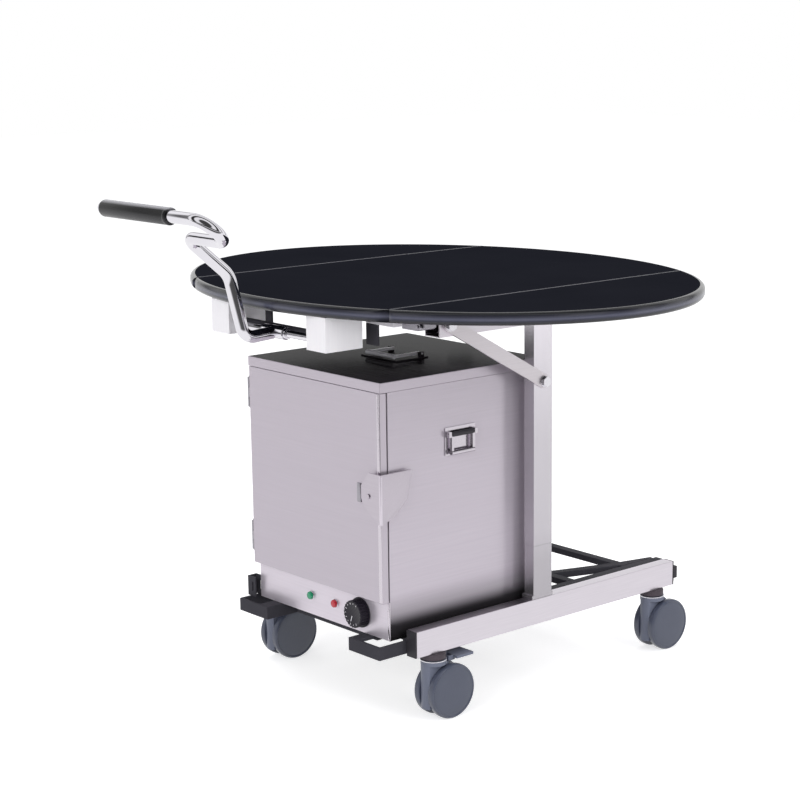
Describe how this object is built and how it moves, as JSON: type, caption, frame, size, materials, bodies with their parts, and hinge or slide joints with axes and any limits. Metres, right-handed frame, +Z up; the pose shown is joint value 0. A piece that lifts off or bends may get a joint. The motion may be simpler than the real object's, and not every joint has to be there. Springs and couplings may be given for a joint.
{
  "type": "room service table",
  "caption": "Folding oval table on a wheeled C-shaped trolley with a removable heated food box, a folding push handle and drop leaves.",
  "frame": {"origin": "floor level, at the bottom centre of the bounding box with the leaves up", "axes": "+X along the table to the right seen from the push handle, +Y away from the push handle, +Z up"},
  "size_m": [1.07, 1.059, 0.915],
  "materials": {
    "black_laminate": "polished laminate",
    "edging": "gloss",
    "brushed_steel": "satin",
    "box_steel": "fine brushed",
    "cover_steel": "polished",
    "liner_steel": "plain",
    "chrome": "bright",
    "hardware_steel": "zinc plated",
    "black_paint": "satin black",
    "black_plastic": "fine grain",
    "grip_rubber": "matt",
    "white_plastic": "satin",
    "insulation": "mineral wool",
    "gasket_rubber": "matt",
    "dial_plastic": "satin",
    "thermostat_body": "moulded",
    "green_lens": "translucent",
    "red_lens": "translucent",
    "castor_grey": "fine grain",
    "wheel_rubber": "smooth"
  },
  "bodies": {
    "frame": {"rail_right": "brushed_steel", "rail_end_caps": "black_plastic", "post_foot": "brushed_steel", "post_tube": "brushed_steel", "strut": "brushed_steel", "strut_bolts": "hardware_steel", "table_frame": "brushed_steel", "base_sides": "black_paint", "cross_bars": "black_paint", "box_stops": "black_paint", "centre_leaf": "black_laminate", "centre_edging": "edging", "hinge_brackets": "brushed_steel", "hinge_blocks": "white_plastic", "handle_housings": "brushed_steel", "handle_rod": "chrome", "lock_bar": "black_paint", "box_shell": "box_steel", "top_cover": "cover_steel", "liner": "liner_steel", "lagging": "insulation", "control_panel": "box_steel", "door_hinges_fixed": "hardware_steel", "magnet_catch": "black_plastic", "thermostat": "thermostat_body", "green_lamp": "green_lens", "red_lamp": "red_lens", "heater": "hardware_steel", "rack_guides": "liner_steel", "shelves": "liner_steel", "handle_plates": "chrome", "power_inlet": "black_plastic", "castor_caps": "black_plastic"},
    "leaf_right": {"right_leaf": "black_laminate", "right_edging": "edging", "hinge_plates_right": "brushed_steel"},
    "leaf_left": {"left_leaf": "black_laminate", "left_edging": "edging", "hinge_plates_left": "brushed_steel"},
    "push_handle": {"handle_tube": "chrome", "handle_grip": "grip_rubber"},
    "door": {"door_skin": "box_steel", "door_pan": "liner_steel", "door_gasket": "gasket_rubber", "door_hinges_moving": "hardware_steel", "door_pull": "box_steel"},
    "dial": {"knob": "dial_plastic"},
    "handle_right": {"bail_right": "chrome"},
    "handle_left": {"bail_left": "chrome"},
    "handle_top": {"bail_top": "chrome"},
    "swivel_front_right": {"castor_front_right": "castor_grey"},
    "swivel_front_left": {"castor_front_left": "castor_grey"},
    "swivel_rear_right": {"castor_rear_right": "castor_grey"},
    "swivel_rear_left": {"castor_rear_left": "castor_grey"},
    "wheel_front_right": {"wheels_front_right": "wheel_rubber"},
    "wheel_front_left": {"wheels_front_left": "wheel_rubber"},
    "wheel_rear_right": {"wheels_rear_right": "wheel_rubber"},
    "wheel_rear_left": {"wheels_rear_left": "wheel_rubber"},
    "brake_right": {"pedal_right": "black_plastic"},
    "brake_left": {"pedal_left": "black_plastic"}
  },
  "joints": [
    {"name": "leaf_right_fold", "type": "hinge", "parent": "frame", "child": "leaf_right", "pos_m": [0.278, 0.09951, 0.71], "axis": [0, 1, 0], "range_deg": [0, 90]},
    {"name": "leaf_left_fold", "type": "hinge", "parent": "frame", "child": "leaf_left", "pos_m": [-0.278, 0.09951, 0.71], "axis": [0, -1, 0], "range_deg": [0, 90]},
    {"name": "push_handle_fold", "type": "hinge", "parent": "frame", "child": "push_handle", "pos_m": [0, -0.28549, 0.68], "axis": [1, 0, 0], "range_deg": [0, 110]},
    {"name": "door_swing", "type": "hinge", "parent": "frame", "child": "door", "pos_m": [-0.1585, -0.23149, 0.4077], "axis": [0, 0, -1], "range_deg": [0, 115]},
    {"name": "dial_turn", "type": "hinge", "parent": "frame", "child": "dial", "pos_m": [0.146, -0.23249, 0.18775], "axis": [0, -1, 0], "range_deg": [0, 270]},
    {"name": "handle_right_lift", "type": "hinge", "parent": "frame", "child": "handle_right", "pos_m": [0.2335, -0.05849, 0.502], "axis": [0, -1, 0], "range_deg": [0, 90]},
    {"name": "handle_left_lift", "type": "hinge", "parent": "frame", "child": "handle_left", "pos_m": [-0.1605, -0.05849, 0.502], "axis": [0, 1, 0], "range_deg": [0, 90]},
    {"name": "handle_top_lift", "type": "hinge", "parent": "frame", "child": "handle_top", "pos_m": [0.0365, -0.02049, 0.6195], "axis": [-1, 0, 0], "range_deg": [0, 90]},
    {"name": "swivel_front_right", "type": "hinge", "parent": "frame", "child": "swivel_front_right", "pos_m": [0.2535, -0.14849, 0.118], "axis": [0, 0, 1], "continuous": true},
    {"name": "roll_front_right", "type": "hinge", "parent": "swivel_front_right", "child": "wheel_front_right", "pos_m": [0.2535, -0.12349, 0.05], "axis": [1, 0, 0], "continuous": true},
    {"name": "swivel_rear_right", "type": "hinge", "parent": "frame", "child": "swivel_rear_right", "pos_m": [0.2535, 0.41651, 0.118], "axis": [0, 0, 1], "continuous": true},
    {"name": "roll_rear_right", "type": "hinge", "parent": "swivel_rear_right", "child": "wheel_rear_right", "pos_m": [0.2535, 0.44151, 0.05], "axis": [1, 0, 0], "continuous": true},
    {"name": "brake_right", "type": "hinge", "parent": "swivel_front_right", "child": "brake_right", "pos_m": [0.2535, -0.11949, 0.10675], "axis": [-1, 0, 0], "range_deg": [0, 8]},
    {"name": "swivel_front_left", "type": "hinge", "parent": "frame", "child": "swivel_front_left", "pos_m": [-0.205, -0.14849, 0.118], "axis": [0, 0, 1], "continuous": true},
    {"name": "roll_front_left", "type": "hinge", "parent": "swivel_front_left", "child": "wheel_front_left", "pos_m": [-0.205, -0.12349, 0.05], "axis": [1, 0, 0], "continuous": true},
    {"name": "swivel_rear_left", "type": "hinge", "parent": "frame", "child": "swivel_rear_left", "pos_m": [-0.205, 0.41651, 0.118], "axis": [0, 0, 1], "continuous": true},
    {"name": "roll_rear_left", "type": "hinge", "parent": "swivel_rear_left", "child": "wheel_rear_left", "pos_m": [-0.205, 0.44151, 0.05], "axis": [1, 0, 0], "continuous": true},
    {"name": "brake_left", "type": "hinge", "parent": "swivel_front_left", "child": "brake_left", "pos_m": [-0.205, -0.11949, 0.10675], "axis": [-1, 0, 0], "range_deg": [0, 8]}
  ]
}
